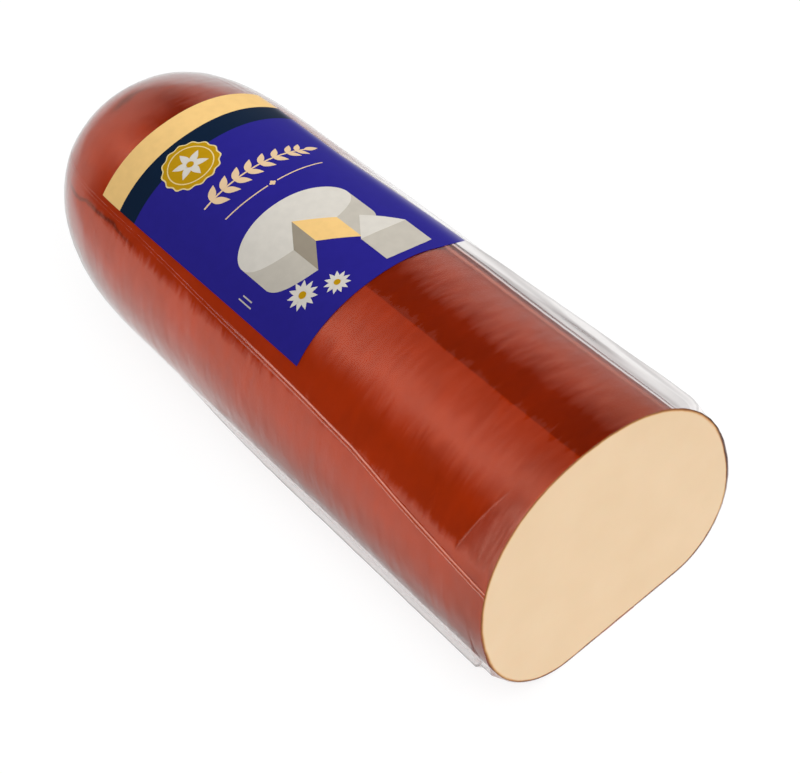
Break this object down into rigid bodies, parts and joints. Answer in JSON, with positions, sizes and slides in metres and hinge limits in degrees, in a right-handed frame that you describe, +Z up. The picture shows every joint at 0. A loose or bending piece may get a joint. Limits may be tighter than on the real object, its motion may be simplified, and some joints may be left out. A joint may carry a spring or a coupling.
{
  "type": "smoked goat cheese",
  "caption": "Cut log of smoked goat cheese with a pale cut face, a flat base, one rounded end, clear shrink film and a curved paper label on its crown.",
  "frame": {"origin": "on the plane the pack rests on, under the middle of its length, on the log's centre plane", "axes": "+X along the log towards the cut face, +Z up from the flat base, +Y to the right of someone who faces the cut face"},
  "size_m": [0.272, 0.1027, 0.0868],
  "materials": {
    "smoked_cheese": "satin",
    "clear_film": "gloss",
    "label_paper": "satin"
  },
  "bodies": {
    "root": {"cheese": "smoked_cheese", "film": "clear_film", "label": "label_paper"}
  },
  "joints": []
}
